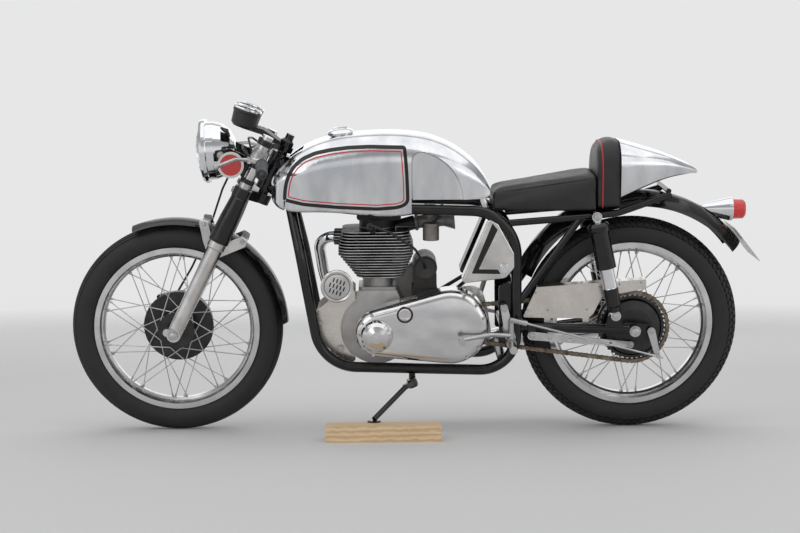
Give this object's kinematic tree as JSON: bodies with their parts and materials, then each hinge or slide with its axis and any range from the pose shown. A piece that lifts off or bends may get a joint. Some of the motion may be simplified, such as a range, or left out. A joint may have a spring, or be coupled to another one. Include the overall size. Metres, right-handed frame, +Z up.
{
  "type": "cafe racer motorcycle",
  "caption": "Single-cylinder cafe racer motorcycle with low bars, a long polished tank and a humped seat, leaning on a side stand whose foot rests on a timber block.",
  "frame": {"origin": "middle of the bounding box's base, on the ground under the leaning motorcycle", "axes": "+X to the rear along the wheelbase, +Y to the motorcycle's right side, +Z up; the motorcycle leans 9.5 degrees towards -Y"},
  "size_m": [2.1244, 0.6761, 1.021],
  "materials": {
    "tyre": "satin",
    "rim_alloy": "polished",
    "spoke_steel": "polished",
    "hub_black": "satin",
    "fork_alloy": "polished",
    "black_enamel": "gloss",
    "bar_alloy": "satin",
    "chrome": "mirror",
    "lamp_glass": "clear",
    "clock_black": "gloss",
    "cast_alloy": "cast",
    "barrel_black": "matt",
    "cover_alloy": "polished",
    "tank_alloy": "polished",
    "guard_alloy": "brushed",
    "chain_steel": "oiled",
    "seat_vinyl": "satin",
    "hump_vinyl": "satin",
    "cable_black": "satin",
    "red_lens": "gloss",
    "plate_white": "satin",
    "pine": "sawn"
  },
  "bodies": {
    "frame": {"headstock": "black_enamel", "left_frame_loop": "black_enamel", "right_frame_loop": "black_enamel", "cross_tubes": "black_enamel", "swing_pivot": "black_enamel", "subframe_rails": "black_enamel", "swinging_arm": "black_enamel", "shock_absorbers": "chrome", "rear_brake_plate": "hub_black", "torque_arm": "cast_alloy", "chain_guard": "guard_alloy", "drive_chain": "chain_steel", "gearbox": "cast_alloy", "crankcase": "cast_alloy", "cylinder_barrel": "barrel_black", "cylinder_head": "cast_alloy", "primary_cover": "cover_alloy", "magneto": "barrel_black", "carburettor": "cast_alloy", "engine_plates": "cast_alloy", "exhaust_header": "chrome", "silencer": "chrome", "horn": "black_enamel", "fuel_tank": "tank_alloy", "filler_cap": "chrome", "seat_pad": "seat_vinyl", "seat_hump": "hump_vinyl", "seat_tail": "tank_alloy", "side_panel": "cover_alloy", "oil_tank": "black_enamel", "rear_mudguard": "black_enamel", "tail_lamp": "chrome", "tail_lens": "red_lens", "number_plate": "plate_white", "footrests": "cast_alloy", "foot_pedals": "chrome", "engine_pipes": "cable_black", "timber_block": "pine"},
    "steering": {"fork_legs": "fork_alloy", "fork_shrouds": "black_enamel", "fork_yokes": "black_enamel", "clip_ons": "bar_alloy", "headlamp_shell": "chrome", "headlamp_glass": "lamp_glass", "lamp_ears": "black_enamel", "disc_holder": "black_enamel", "clocks": "clock_black", "front_mudguard": "black_enamel", "front_brake_plate": "hub_black", "brake_cable": "cable_black", "control_cables": "cable_black"},
    "front_wheel": {"front_tyre": "tyre", "front_rim": "rim_alloy", "front_hub": "hub_black", "front_spokes": "spoke_steel"},
    "rear_wheel": {"rear_tyre": "tyre", "rear_rim": "rim_alloy", "rear_hub": "hub_black", "rear_spokes": "spoke_steel"},
    "side_stand": {"side_stand": "black_enamel"}
  },
  "joints": [
    {"name": "steering_turn", "type": "hinge", "parent": "frame", "child": "steering", "pos_m": [-0.42687, 0.00528, 0.80563], "axis": [0.4462, -0.1477, 0.8827], "range_deg": [-25, 25]},
    {"name": "front_wheel_spin", "type": "hinge", "parent": "steering", "child": "front_wheel", "pos_m": [-0.734, 0.08586, 0.32406], "axis": [0, 0.9863, 0.165], "continuous": true},
    {"name": "rear_wheel_spin", "type": "hinge", "parent": "frame", "child": "rear_wheel", "pos_m": [0.676, 0.08471, 0.33097], "axis": [0, 0.9863, 0.165], "continuous": true},
    {"name": "side_stand_fold", "type": "hinge", "parent": "frame", "child": "side_stand", "pos_m": [-0.005, -0.01924, 0.15236], "axis": [-0.3541, -0.0588, 0.9334], "range_deg": [0, 122]}
  ]
}
